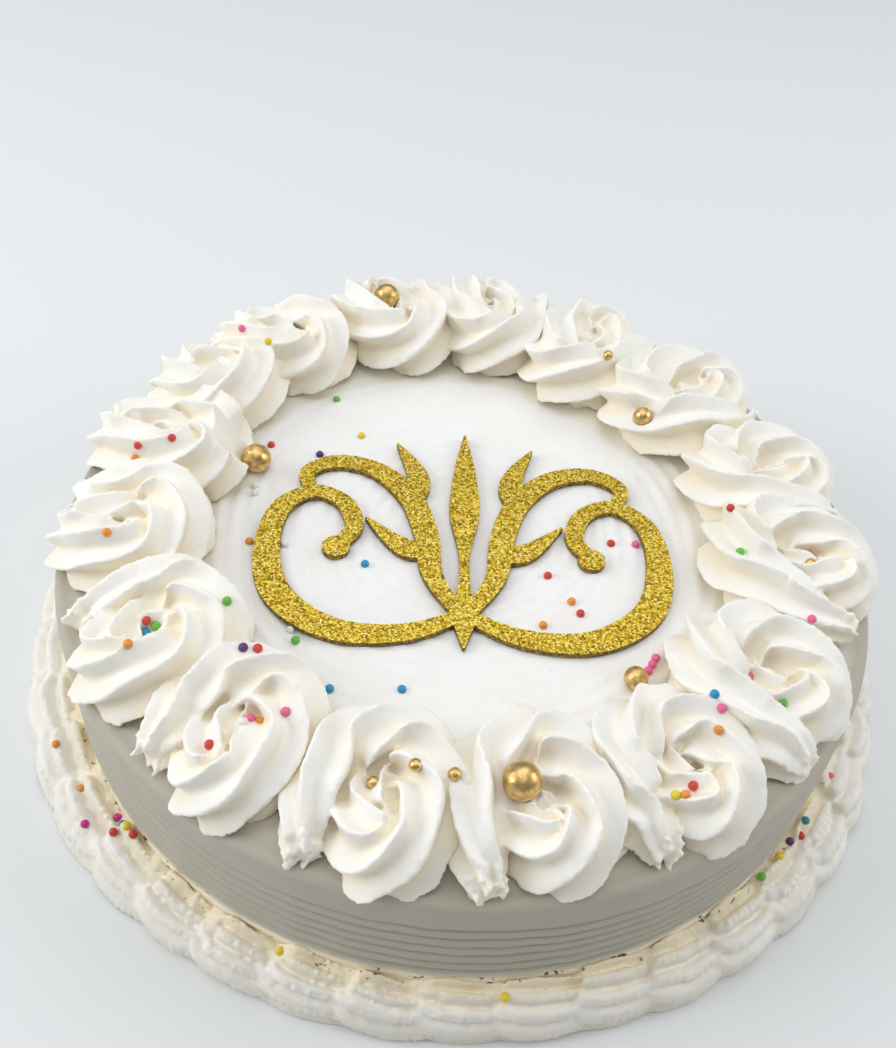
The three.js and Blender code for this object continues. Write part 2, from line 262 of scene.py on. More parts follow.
def crumb_mask(tree, place, scale, start, end, where):
    """Scattered specks, only where the given ramp is above 0."""
    crumbs = tree.nodes.new("ShaderNodeTexNoise")
    crumbs.inputs["Scale"].default_value = scale
    crumbs.inputs["Detail"].default_value = 2
    tree.links.new(place.outputs["Object"], crumbs.inputs["Vector"])
    speck = ramp(tree, crumbs.outputs["Fac"], start, end)
    both = tree.nodes.new("ShaderNodeMath")
    both.operation = "MULTIPLY"
    tree.links.new(speck.outputs["Result"], both.inputs[0])
    tree.links.new(where.outputs["Result"], both.inputs[1])
    return both.outputs["Value"]


def paint_wall(tree, shader, cream):
    """Cream on the wall and the top's rim, greyer and darker, partly as thin scraped cream and
    partly as painted shade; yellower at its foot, with brown cake crumbs drawn in.
    """
    place = tree.nodes.new("ShaderNodeTexCoord")
    split = tree.nodes.new("ShaderNodeSeparateXYZ")
    tree.links.new(place.outputs["Object"], split.inputs["Vector"])
    # Painted shade: outside 95 mm from the axis the cream is painted darker and greyer, partly for
    # thin scraped cream and partly as the shade on the wall and rim.
    thin_cream_and_shade = ramp(tree, axis_distance(tree, place), 95 * mm, 102 * mm)
    foot = ramp(tree, split.outputs["Z"], 19.5 * mm, 15.5 * mm)
    foot.interpolation_type = "SMOOTHSTEP"
    low = ramp(tree, split.outputs["Z"], 18.5 * mm, 16 * mm)
    specks = crumb_mask(tree, place, 420, 0.62, 0.67, low)
    color = tint(tree, cream.outputs["Color"], (0.48, 0.45, 0.375), thin_cream_and_shade.outputs["Result"])
    color = tint(tree, color, (0.95, 0.87, 0.68), foot.outputs["Result"])
    color = tint(tree, color, (0.18, 0.09, 0.03), specks)
    tree.links.new(color, shader.inputs["Base Color"])


def cake_surface():
    """Rings of points from the foot up the wall, over the edge and in to the middle."""
    shoulder = cake_top - edge_round
    behind_border = np.linspace(foot_bevel, border_hides, 5)
    wall = np.r_[behind_border, np.arange(border_hides + 0.4 * mm, shoulder, wall_step)]
    turn = np.radians(np.linspace(0, 90, 8))
    edge_radius = cake_radius - edge_round * (1 - np.cos(turn))
    edge_height = shoulder + edge_round * np.sin(turn)
    under_rosettes = np.linspace(cake_radius - edge_round - 2 * mm, rosettes_hide, 9)
    open_top = np.arange(rosettes_hide - 1 * mm, 0.8 * mm, -top_step)
    flat_radius = np.r_[under_rosettes, open_top, 0.05 * mm]
    foot_radius = [0.05 * mm, cake_radius - foot_bevel]
    radius = np.r_[foot_radius, np.full(len(wall), cake_radius), edge_radius, flat_radius]
    height = np.r_[[0, 0], wall, edge_height, np.full(len(flat_radius), cake_top)]
    bearing = np.linspace(0, 2 * math.pi, cake_sides, endpoint=False)
    radius = np.repeat(radius[:, None], cake_sides, axis=1)
    height = np.repeat(height[:, None], cake_sides, axis=1)

    way = np.stack([np.cos(bearing), np.sin(bearing)], -1)[None]
    points = np.concatenate([radius[..., None] * way, height[..., None]], -1)
    is_wall = (height > comb_foot) & (height < shoulder) & (radius > cake_radius - 1 * mm)
    is_top = (height >= cake_top - 0.01 * mm) & (radius < cake_radius - edge_round)

    drift = comb_drift * uneven(1, 90 * mm)(points)
    press = 0.85 + 0.25 * uneven(2, 30 * mm)(points)
    for groove in range(comb_grooves):
        above = height - (comb_top - groove * comb_pitch) - drift
        cut = np.exp(-((2.1 * above / comb_width) ** 2))
        burr = np.exp(-(((above - burr_above) / burr_width) ** 2))
        radius = radius + is_wall * press * (burr_height * burr - comb_depth * cut)
    radius = radius + is_wall * wall_wave * (uneven(3, 14 * mm)(points) - 0.8)

    fade = np.clip(0.55 + 0.6 * uneven(4, 60 * mm)(points), 0.1, 1.1)
    rings = np.sin(2 * math.pi * radius / spatula_pitch + 1.3 * uneven(5, 50 * mm)(points))
    dish = uneven(6, 45 * mm)(points)
    height = height + is_top * fade * spatula_depth * rings + is_top * top_dish * dish
    height = height + is_top * top_grain * uneven(7, 5 * mm)(points)
    return np.concatenate([radius[..., None] * way, height[..., None]], -1)


# The third colour is the painted shade deep in the cream's folds.
combed_cream, tree, shader, cream = cream_material(
    "combed_cream", (0.90, 0.90, 0.895), (0.88, 0.87, 0.845), (0.87, 0.83, 0.74), 0.25 * mm
)
paint_wall(tree, shader, cream)
cake_points = cake_surface()
cake = add_piece(
    "cake", cake_points, grid_faces(*cake_points.shape[:2], capped=True), [combed_cream]
)
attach(cake, "root")
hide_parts("cake_body")

# ---------------------------------------------------------------- rosettes of piped cream
# Sixteen rosettes of whipped cream, each piped in one go with an open star nozzle. The nozzle
# starts low in the middle and goes once and a third round, counterclockwise, without being
# turned in the hand, so each ridge crosses the rope from its outside to its inside. It is
# pulled away outward, over the cake's edge, and leaves a torn tail beside the rosette before.
rosette_places = [
    # distance from the axis in mm, bearing, reach towards the axis and away from it, turn of
    # the path and of the ridges
    (87.5, 262.5, 0.97, 1.02, 0, 10), (87.5, 284, 1.00, 0.90, 0, 35),
    (87.3, 305, 0.93, 1.05, 4, 0), (85.5, 328, 1.15, 1.10, 6, 22),
    (86, 356, 1.22, 1.20, -18, 40), (85, 18, 1.20, 1.10, -12, 15),
    (85, 44, 1.30, 1.10, -24, 5), (86, 68, 1.42, 1.05, -10, 30),
    (90, 90, 1.25, 1.00, 0, 12), (91, 110.5, 1.35, 1.00, 10, 44),
    (91.5, 134.5, 1.22, 1.05, 18, 8), (86.5, 151, 0.62, 1.10, 0, 27),
    (85, 170, 1.12, 1.45, -10, 3), (83, 193, 0.60, 1.50, -6, 38),
    (85, 217.5, 0.85, 1.36, -8, 18), (87, 239.5, 0.98, 1.20, 4, 0),
]
nozzle_teeth = 6
groove_depth = 0.42
ridge_sharpness = 1.15
rope_path = [  # outward, counterclockwise and up from the rosette's place, and rope radius, in mm
    (0.5, 1.0, 4.6, 4.6),
    (-3.0, -2.0, 4.6, 6.3),
    (2.5, -6.0, 5.1, 7.5),
    (10.0, -1.5, 5.6, 8.4),
    (7.0, 5.5, 6.2, 8.8),
    (-4.5, 7.5, 6.9, 9.4),
    (-13.0, -0.5, 7.2, 10.0),
    (-9.5, -11.5, 7.2, 9.5),
    (0.5, -15.5, 6.6, 8.2),
    (7.5, -16.0, 5.2, 6.0),
    (12.5, -15.5, 4.0, 3.4),
]
tail_stops = 3
tail_from = 88  # a rosette nearer to the axis than this, in mm, has a longer tail
nozzle_stray = 0.7  # how far the nozzle strays from the path, in mm
tail_stray = 1.5
rope_waver = 0.022  # how unevenly the rope is pressed out, seven times in a turn
rope_arch = 1.14  # the rope is round above, and spread and flat where it lies on what is below
rope_flat = 0.85
foot_spread = 0.42
fine_edge = 0.22  # how ragged the ridges are, in mm, and how ragged the tail
fine_length = 2.2
torn_edge = 0.7
torn_reach = 3.6
foot_ruffle = 1.1  # the foot wanders in and out this much, in mm, up to its height
ruffle_length = 9
ruffle_height = 5
overhang_from = 97 * mm  # outside this the rope sags, over the cake's edge
overhang_width = 11 * mm
overhang_sag = 3.2 * mm
foot_in_cream = 0.6 * mm  # how deep a rosette sits in the top, and how far inside its edge
foot_from_edge = 0.8 * mm
rosette_height = 18.3 * mm
size_spread = 0.02
rope_stretch_steps = 32
tail_steps = 2 * rope_stretch_steps
rope_sides = 210
rosette_cell = 0.46 * mm
rosette_faces = 37000
press_slope = 1.6


def through(points, steps):
    """A smooth line through the points, in the same number of steps between each two."""
    p = np.array(points, float)
    p = np.concatenate([[2 * p[0] - p[1]], p, [2 * p[-1] - p[-2]]])
    line = []
    for a, b, c, d in zip(p[:-3], p[1:-2], p[2:-1], p[3:]):
        gaps = [np.linalg.norm(q - r) ** 0.5 for q, r in ((b, a), (c, b), (d, c))]
        leave = (b - a) / gaps[0] - (c - a) / (gaps[0] + gaps[1]) + (c - b) / gaps[1]
        arrive = (c - b) / gaps[1] - (d - b) / (gaps[1] + gaps[2]) + (d - c) / gaps[2]
        leave, arrive = leave * gaps[1], arrive * gaps[1]
        t = np.linspace(0, 1, steps, endpoint=False)[:, None]
        bend = (3 * (c - b) - 2 * leave - arrive) * t**2 + (2 * (b - c) + leave + arrive) * t**3
        line.append(b + leave * t + bend)
    return np.concatenate([*line, [p[-2]]])


def piped_rope(seed, distance, reach_in, reach_out, path_turn, tooth_turn, scale):
    """The rope of one rosette: x is outward from the cake's axis, y counterclockwise, in mm."""
    draw = np.random.default_rng(seed)
    stops = np.array(rope_path)
    at_tail = np.arange(len(stops)) >= len(stops) - tail_stops
    stops[:, :2] += draw.uniform(-nozzle_stray, nozzle_stray, (len(stops), 2))
    stops[-1, 0] += draw.uniform(-tail_stray, tail_stray)
    stops[:, 0] *= np.where(stops[:, 0] < 0, reach_in, np.where(at_tail, 1.0, reach_out))
    stops[-2:, 0] += max(0, tail_from - distance)
    cos, sin = math.cos(path_turn), math.sin(path_turn)
    stops[:, :2] = stops[:, :2] @ np.array([[cos, sin], [-sin, cos]])
    line = through(stops, rope_stretch_steps)
    middle, size = line[:, :3], line[:, 3]
    ahead = np.gradient(middle[:, :2], axis=0)
    facing = np.unwrap(np.arctan2(ahead[:, 1], ahead[:, 0])) - math.pi / 2
    size = size * (1 + rope_waver * np.sin(7 * facing + draw.uniform(0, 6)))

    around = np.linspace(0, 2 * math.pi, rope_sides, endpoint=False)[None]
    tooth = nozzle_teeth * (around - facing[:, None] + tooth_turn)
    ridge = 1 - np.abs(np.sin(tooth / 2)) ** ridge_sharpness
    reach = size[:, None] * (1 - groove_depth * (1 - ridge))
    to_end = np.linspace(-len(line) / tail_steps, 1, len(line)) * 1.6 - 0.6
    torn = smooth(to_end)[:, None]
    foot = np.clip(-np.sin(around), 0, 1) * (1 - torn)
    across = reach * np.cos(around) * (1 + foot_spread * foot)
    up = reach * np.sin(around) * np.where(np.sin(around) > 0, rope_arch, rope_flat)
    x = middle[:, :1] + across * np.cos(facing[:, None])
    y = middle[:, 1:2] + across * np.sin(facing[:, None])
    points = np.stack([x, y, middle[:, 2:] + up], -1)

    which = np.round(tooth / (2 * math.pi)).astype(int) % nozzle_teeth
    pulled = draw.uniform(-0.4, 1, nozzle_teeth)[which] * ridge
    points[..., 0] += torn * torn_reach * pulled
    points[..., 2] += torn * (pulled - 0.3)
    ragged = fine_edge * ridge**2 + torn_edge * torn
    shake = np.stack([uneven(seed + k, fine_length)(points) for k in (1, 2, 3)], -1)
    points += ragged[..., None] * shake
    low = smooth((ruffle_height - points[..., 2]) / ruffle_height)
    ruffle = np.stack([uneven(seed + k, ruffle_length)(points) for k in (4, 5)], -1)
    points[..., :2] += foot_ruffle * low[..., None] * ruffle
    return points * scale


def apply_modifiers(piece):
    """Gives the piece the mesh that its modifiers make."""
    graph = bpy.context.evaluated_depsgraph_get()
    mesh = bpy.data.meshes.new_from_object(piece.evaluated_get(graph))
    piece.modifiers.clear()
    piece.data = mesh
    mesh.shade_smooth()


def fuse_rope(piece, cell, triangles):
    """Fuses overlapping ropes into one skin of about this many triangles."""
    fuse = piece.modifiers.new("fuse", "REMESH")
    fuse.mode = "VOXEL"
    fuse.voxel_size = cell
    fuse.use_smooth_shade = True
    soften = piece.modifiers.new("soften", "SMOOTH")
    soften.factor = 0.5
    soften.iterations = 1
    apply_modifiers(piece)
    thin = piece.modifiers.new("thin", "DECIMATE")
    thin.ratio = min(1, triangles / (2 * len(piece.data.polygons)))
    apply_modifiers(piece)


def press_pearls(points):
    """Presses the rope down where a pearl lies on it, with a sloped edge of cream round it."""
    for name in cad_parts:
        if name.startswith("pearl_"):
            low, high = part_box(name)
            radius = (high.z - low.z) / 2
            middle = np.array((low + high) / 2)
            aside = np.hypot(points[..., 0] - middle[0], points[..., 1] - middle[1])
            under = middle[2] - np.sqrt(np.clip(radius**2 - aside**2, 0, None))
            beside = middle[2] + press_slope * (aside - radius)
            points[..., 2] = np.minimum(points[..., 2], np.where(aside < radius, under, beside))


def rosette(index):
    """One rosette in its place on the cake, as a single skin with the rope's overlaps fused."""
    distance, bearing, reach_in, reach_out, path_turn, ridge_turn = rosette_places[index]
    turns = (math.radians(path_turn), math.radians(ridge_turn))
    scale = 1 + size_spread * math.sin(math.radians(137.5 * index))
    points = piped_rope(100 + 10 * index, distance, reach_in, reach_out, *turns, scale) * mm
    angle = math.radians(bearing)
    turned = np.array([[math.cos(angle), math.sin(angle)], [-math.sin(angle), math.cos(angle)]])
    points[..., :2] = (points[..., :2] + [distance * mm, 0]) @ turned
    from_axis = np.hypot(points[..., 0], points[..., 1])
    points[..., 2] -= overhang_sag * smooth((from_axis - overhang_from) / overhang_width)
    on_cake = from_axis < cake_radius - foot_from_edge
    lowest = np.where(on_cake, -foot_in_cream, -cake_top)
    points[..., 2] = np.clip(points[..., 2], lowest, rosette_height) + cake_top
    press_pearls(points)

    name = f"rosette_{index + 1:02d}"
    rows, columns = points.shape[:2]
    piece = add_piece(name, points, grid_faces(rows, columns, capped=True), [piped_cream])
    fuse_rope(piece, rosette_cell, rosette_faces)
    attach(piece, "root")
    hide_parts(name)
    return piece


# The third colour is the painted shade deep in the cream's folds.
piped_cream = cream_material(
    "piped_cream", (0.93, 0.922, 0.885), (0.91, 0.89, 0.82), (0.94, 0.875, 0.73), 0.14 * mm
)[0]
rosettes = [rosette(index) for index in range(len(rosette_places))]

# ---------------------------------------------------------------- shell border
# A border of overlapping shells, piped round the foot with the same kind of star nozzle. Each
# shell swells at its head, tapers counterclockwise, and has the next head on its end. A rope of
# cream fills the corner at the wall.
shell_count = 39
first_shell = 251
shell_bend = 113
shell_stray = 0.5  # how far a shell strays from its path, in mm, and how far its head
head_stray = 1.5
shell_teeth = 8
shell_twist = 0.25  # how far the tiers turn from head to end, in teeth
shell_groove = 0.54
shell_droop = 2.2  # each tier's lip hangs down and is crimped along its edge, in mm
shell_crimp = 0.55
lip_place = 0.16  # from one groove to the next, as a share
lip_width = 0.16
full_size = 6  # where the rope is thinner than this, in mm, the lip is smaller
lean_from = 112  # nearer to the axis than this, in mm, the cream is drawn up at a slope
shell_lean = 0.75
peak_from = 109  # nearer than this each shell has a torn peak, this far along it, in mm
peak_along = 5
peak_width = 3
shell_peak = 2.6
shell_foot = 4.5  # the cream spreads on what it lies on, up to this height
shell_spread = 1.2
shell_edge = 0.22
edge_length = 3.5
shell_height = 16.2
border_inner = 104
border_outer = 121.2
border_squeeze = 0.42  # the border is narrower at the front: share, bearing and spread
squeeze_bearing = 268
squeeze_spread = 50
shell_path = [  # out from the cake's axis, counterclockwise and up, and rope radius, in mm
    (109.3, -2.4, 9.0, 1.0),
    (110.4, -1.2, 7.6, 6.2),
    (111.6, 2.4, 6.2, 8.2),
    (112.2, 8.2, 5.3, 8.6),
    (112.0, 15.0, 4.8, 7.7),
    (111.4, 21.5, 4.3, 6.0),
    (111.0, 27.0, 3.8, 4.0),
]
joint_middle = 105.6
joint_height = 9.2
joint_radius = 4.2
joint_crest = 15.6
joint_lumps = 0.12
lump_length = 7
joint_rings = 720
joint_sides = 24
shell_steps = 12
shell_sides = 96
border_cell = 0.44 * mm
border_faces = 190000


def paint_joint(tree, shader, cream):
    """Yellower cream in the corner at the wall, with a few crumbs drawn out of the cake."""
    place = tree.nodes.new("ShaderNodeTexCoord")
    distance = axis_distance(tree, place)
    near = ramp(tree, distance, 110.5 * mm, 105.5 * mm)
    at_wall = ramp(tree, distance, 108 * mm, 106 * mm)
    specks = crumb_mask(tree, place, 480, 0.66, 0.70, at_wall)
    color = tint(tree, cream.outputs["Color"], (0.88, 0.79, 0.58), near.outputs["Result"])
    color = tint(tree, color, (0.24, 0.12, 0.04), specks)
    tree.links.new(color, shader.inputs["Base Color"])


def squeezed(out, angle):
    """Distance from the axis where the border is narrower, as it is towards the front."""
    away = (np.degrees(angle) - squeeze_bearing + 540) % 360 - 180
    narrow = 1 - border_squeeze * np.exp(-((away / squeeze_spread) ** 2))
    return border_inner + (out - border_inner) * narrow


def piped_shell(index):
    """One shell of the border: rings of points from its head to its end, in mm."""
    draw = np.random.default_rng(500 + index)
    stops = np.array(shell_path)
    stops[1:, 0] += draw.uniform(-shell_stray, shell_stray)
    stops[1:, 1:3] += draw.uniform(-shell_stray, shell_stray, (len(stops) - 1, 2))
    stops[0, 1] += draw.uniform(-head_stray, head_stray)
    stops[:, 3] *= draw.uniform(0.95, 1.04)
    line = through(stops, shell_steps)
    middle, size = line[:, None, :3], line[:, 3:]
    ahead = np.gradient(line[:, :3], axis=0)
    ahead /= np.linalg.norm(ahead, axis=1, keepdims=True)
    outward = np.array([1, 0, 0]) - ahead * ahead[:, :1]
    outward /= np.linalg.norm(outward, axis=1, keepdims=True)
    upward = np.cross(outward, ahead)

    around = np.linspace(0, 2 * math.pi, shell_sides, endpoint=False)[None]
    along = np.linspace(0, 1, len(line))[:, None]
    turn = draw.uniform(0, 1) + shell_twist * along
    band = (shell_teeth * around / (2 * math.pi) - turn) % 1
    bulge = np.sin(math.pi * band**0.45) ** 0.6
    crimp = np.sin(2 * math.pi * (draw.uniform(20, 26) * along + 0.4 * np.sin(5 * around)))
    lip = np.exp(-(((band - lip_place) / lip_width) ** 2))
    full = smooth(size / full_size)
    reach = size * (1 - shell_groove * (1 - bulge)) + shell_crimp * lip * crimp * full
    ring = outward[:, None] * np.cos(around)[..., None] + upward[:, None] * np.sin(around)[..., None]
    points = middle + reach[..., None] * ring
    points[..., 2] -= shell_droop * lip * np.clip(np.cos(around), 0, 1) * full
    lean = np.clip(lean_from - points[..., 0], 0, 9) * smooth((points[..., 2] - 3) / 6)
    points[..., 2] += shell_lean * lean
    peak = np.exp(-(((points[..., 1] - peak_along) / peak_width) ** 2))
    peak = peak * smooth((peak_from - points[..., 0]) / 4)
    points[..., 2] += shell_peak * draw.uniform(0.3, 1.1) * peak
    spread = smooth((shell_foot - points[..., 2]) / shell_foot)
    points[..., 0] += spread * shell_spread * np.cos(around)
    seed = 700 + 3 * index
    shake = np.stack([uneven(seed + k, edge_length)(points) for k in range(3)], -1)
    points += shell_edge * shake
    angle = np.radians(first_shell + 360 / shell_count * index) + points[..., 1] / shell_bend
    out = squeezed(np.clip(points[..., 0], border_inner, border_outer), angle)
    up = np.clip(points[..., 2], 0.1, shell_height)
    return np.stack([out * np.cos(angle), out * np.sin(angle), up], -1) * mm


def joint_rope():
    """The cream pressed into the corner between the shells and the wall: rings of points."""
    turn = np.linspace(0, 2 * math.pi, joint_rings, endpoint=False)[:, None]
    around = np.linspace(0, 2 * math.pi, joint_sides, endpoint=False)[None]
    way = np.stack([np.cos(turn), np.sin(turn), 0 * turn], -1)
    lump = uneven(690, lump_length)(way * joint_middle)
    size = joint_radius * (1 + joint_lumps * lump)
    out = squeezed(np.clip(joint_middle + size * np.cos(around), border_inner, None), turn)
    up = np.clip(joint_height + 0.8 * lump + size * np.sin(around), 0.1, joint_crest)
    points = np.concatenate([out[..., None] * way[..., :2], up[..., None]], -1)
    return points * mm


shell_points = [piped_shell(index) for index in range(shell_count)]
rows, columns = shell_points[0].shape[:2]
faces = []
for index in range(shell_count):
    start = index * rows * columns
    faces += [[start + k for k in face] for face in grid_faces(rows, columns, capped=True)]
joint = joint_rope()
rings, sides = joint.shape[:2]
start = shell_count * rows * columns
closed = grid_faces(rings, sides)
closed += [
    [(rings - 1) * sides + k, (rings - 1) * sides + (k + 1) % sides, (k + 1) % sides, k]
    for k in range(sides)
]
faces += [[start + k for k in face] for face in closed]
# The third colour is the painted shade deep in the cream's folds.
border_cream, tree, shader, cream = cream_material(
    "border_cream", (0.88, 0.87, 0.825), (0.86, 0.83, 0.75), (0.87, 0.815, 0.70), 0.3 * mm
)
paint_joint(tree, shader, cream)
border_points = np.concatenate([np.reshape(shell_points, (-1, 3)), joint.reshape(-1, 3)])
border = add_piece("border", border_points, faces, [border_cream])
fuse_rope(border, border_cell, border_faces)
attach(border, "root")
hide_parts("shell_border")

# ---------------------------------------------------------------- painted shade in the hollows of the cream
# Painted shade: the cream is painted yellower deep in its folds, in place of the shade there and the
# light bounced from cream. The folds are marked on the pieces as they lie together, by how steeply
# the cream rises round them.
horizon_cell = 1 * mm
horizon_steps = (1.5 * mm, 3 * mm, 5 * mm, 7 * mm)
horizon_ways = 12
horizon_margin = 10 * mm
steepest_rise = 1.6
hollow_from = 0.5
hollow_to = 1.2


def mark_shaded_folds(pieces):
    """Stores on each point how high the cream stands round it, from 0 in the open to 1, as the mask
    of the painted shade in folds.
    """
    meshes = [piece.data for piece in pieces]
    places = [np.array([v.co for v in mesh.vertices]) for mesh in meshes]
    every = np.concatenate(places)
    corner = every.min(axis=0)[:2] - horizon_margin
    room = every.max(axis=0)[:2] + horizon_margin - corner
    cells = np.ceil(room / horizon_cell).astype(int) + 1
    top = np.zeros(cells)
    at = ((every[:, :2] - corner) / horizon_cell).astype(int)
    np.maximum.at(top, (at[:, 0], at[:, 1]), every[:, 2])
    for mesh, points in zip(meshes, places):
        rise = np.zeros(len(points))
        for turn in np.linspace(0, 2 * math.pi, horizon_ways, endpoint=False):
            steepest = np.zeros(len(points))
            for step in horizon_steps:
                away = points[:, :2] + step * np.array([math.cos(turn), math.sin(turn)])
                at = ((away - corner) / horizon_cell).astype(int)
                steepest = np.maximum(steepest, (top[at[:, 0], at[:, 1]] - points[:, 2]) / step)
            rise += np.minimum(steepest, steepest_rise) / horizon_ways
        depth = smooth((rise - hollow_from) / (hollow_to - hollow_from))
        mark = mesh.attributes.new("painted_fold_shade", "FLOAT", "POINT")
        mark.data.foreach_set("value", depth.astype(np.float32))


mark_shaded_folds([cake, border, *rosettes])

# ---------------------------------------------------------------- card flourish
# A scrolled ornament cut from stiff card that is faced with gold glitter. It lies flat on the
# cream, and its cut edge shows the darker card.
card_low, card_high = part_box("card_flourish")
card_thickness = card_high.z - card_low.z
card_turn = math.radians(3)
card_middle = Vector((-1, 0, 0)) * mm
scroll_line = [
    (-1, -30), (14, -37), (32, -37), (46, -27), (50.5, -11), (48, 4), (40, 10), (32, 6),
    (29, -3), (33, -10),
]
scroll_width = [3.5, 6, 7.5, 6, 4.5, 5, 4]
volute_line = [(1, -31), (8, -18), (10, -4), (15, 10), (25, 20), (36, 22), (43, 17), (41, 10)]
volute_width = [3, 6, 6.5, 5.5, 4.5, 3.5]
leaf_line = [(13, 6), (13, 18), (19, 31)]
leaf_width = [2, 6.5, 4.5, 0.6]
leaflet_line = [(9, -12), (17, -8), (26, 1)]
leaflet_width = [2, 6, 4, 0.6]
bud_line = [(0, -41), (0, -10), (0, 36)]
bud_width = [0.6, 6, 3, 3, 8, 6, 0.6]
scroll_eye = 3.6
eye_corners = 48


def stroke(name, line, widths, steps, side=1):
    """A solid strip of card along a line, as wide as given at even stops along it."""
    middle = through(line, steps)
    ahead = np.gradient(middle, axis=0)
    ahead /= np.linalg.norm(ahead, axis=1, keepdims=True)
    aside = np.stack([-ahead[:, 1], ahead[:, 0]], -1)
    stops = np.stack([np.arange(len(widths)) * 10.0, widths], -1)
    eased = through(stops, 12)[:, 1]
    at = np.linspace(0, 1, len(middle))
    half = np.interp(at, np.linspace(0, 1, len(eased)), eased)[:, None] / 2
    left, right = middle + aside * half, middle - aside * half
    low, high = np.zeros((len(middle), 1)), np.full((len(middle), 1), card_thickness / mm)
    ring = [np.c_[left, low], np.c_[left, high], np.c_[right, high], np.c_[right, low]]
    points = np.stack(ring, 1) * mm
    points[..., 0] *= side
    faces = grid_faces(len(middle), 4, capped=True)
    if side < 0:
        faces = [face[::-1] for face in faces]
    return add_piece(name, points, faces, [])


def round_eye(name, spot, radius, side=1):
    """A round of card that ends a scroll."""
    turn = np.linspace(0, 2 * math.pi, eye_corners, endpoint=False)
    ring = np.stack([side * spot[0] + radius * np.cos(turn), spot[1] + radius * np.sin(turn)], -1)
    points = [np.c_[ring, np.full(eye_corners, z)] for z in (0, card_thickness / mm)]
    faces = grid_faces(2, eye_corners, capped=True)
    return add_piece(name, np.stack(points) * mm, faces, [])


def gold_glitter():
    """Fine hexagon flakes of gold foil, each at its own tilt, on gold card."""
    material, tree, shader = new_material("gold_glitter")
    place = tree.nodes.new("ShaderNodeTexCoord")
    flakes = tree.nodes.new("ShaderNodeTexVoronoi")
    flakes.inputs["Scale"].default_value = 2300
    split = tree.nodes.new("ShaderNodeSeparateColor")
    tone = tree.nodes.new("ShaderNodeValToRGB")
    tone.color_ramp.elements[0].position = 0.0
    tone.color_ramp.elements[0].color = (0.16, 0.09, 0.004, 1)
    tone.color_ramp.elements[1].position = 1.0
    tone.color_ramp.elements[1].color = (1.0, 0.86, 0.26, 1)
    for position, color in ((0.3, (0.42, 0.27, 0.01)), (0.7, (0.80, 0.56, 0.04))):
        tone.color_ramp.elements.new(position).color = (*color, 1)
    shine = tree.nodes.new("ShaderNodeMapRange")
    shine.inputs["To Min"].default_value = 0.2
    shine.inputs["To Max"].default_value = 0.5
    bump = tree.nodes.new("ShaderNodeBump")
    bump.inputs["Strength"].default_value = 0.9
    bump.inputs["Distance"].default_value = 0.35 * mm
    link = tree.links.new
    link(place.outputs["Object"], flakes.inputs["Vector"])
    link(flakes.outputs["Color"], split.inputs["Color"])
    link(split.outputs["Red"], tone.inputs["Fac"])
    link(split.outputs["Green"], shine.inputs["Value"])
    link(split.outputs["Blue"], bump.inputs["Height"])
    link(tone.outputs["Color"], shader.inputs["Base Color"])
    link(shine.outputs["Result"], shader.inputs["Roughness"])
    link(bump.outputs["Normal"], shader.inputs["Normal"])
    shader.inputs["Metallic"].default_value = 0.75
    return material


def card_edge():
    """The cut edge: brown board with specks of gold."""
    material, tree, shader = new_material("card_edge")
    place = tree.nodes.new("ShaderNodeTexCoord")
    specks = tree.nodes.new("ShaderNodeTexNoise")
    specks.inputs["Scale"].default_value = 1200
    tone = tree.nodes.new("ShaderNodeValToRGB")
    tone.color_ramp.elements[0].position = 0.4
    tone.color_ramp.elements[0].color = (0.10, 0.06, 0.012, 1)
    tone.color_ramp.elements[1].position = 0.75
    tone.color_ramp.elements[1].color = (0.50, 0.34, 0.05, 1)
    tree.links.new(place.outputs["Object"], specks.inputs["Vector"])
    tree.links.new(specks.outputs["Fac"], tone.inputs["Fac"])
    tree.links.new(tone.outputs["Color"], shader.inputs["Base Color"])
    shader.inputs["Roughness"].default_value = 0.6
    shader.inputs["Metallic"].default_value = 0.3
    return material


strokes = [stroke("card", bud_line, bud_width, 40)]
for side in (1, -1):
    strokes.append(stroke("scroll", scroll_line, scroll_width, 14, side))
    strokes.append(stroke("volute", volute_line, volute_width, 14, side))
    strokes.append(stroke("leaf", leaf_line, leaf_width, 14, side))
    strokes.append(stroke("leaflet", leaflet_line, leaflet_width, 12, side))
    strokes.append(round_eye("eye", scroll_line[-1], scroll_eye, side))
card = strokes[0]
for part in strokes[1:]:
    join = card.modifiers.new(part.name, "BOOLEAN")
    join.operation = "UNION"
    join.solver = "MANIFOLD"
    join.object = part
apply_modifiers(card)
for part in strokes[1:]:
    bpy.data.objects.remove(part)
card.data.transform(
    Matrix.Translation(card_middle + Vector((0, 0, card_low.z))) @ Matrix.Rotation(card_turn, 4, "Z")
)
card.data.shade_flat()
card.data.materials.clear()
card.data.materials.append(gold_glitter())
card.data.materials.append(card_edge())
for face in card.data.polygons:
    face.material_index = 0 if face.normal.z > 0.5 else 1
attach(card, "root")
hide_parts("card_flourish")

# ---------------------------------------------------------------- gold sugar pearls
# Five sugar balls with an edible gold coat, a little mottled where it has rubbed. They are
# pressed into the cream before it sets.
out_of_round = 0.04
pearl_segments = 48


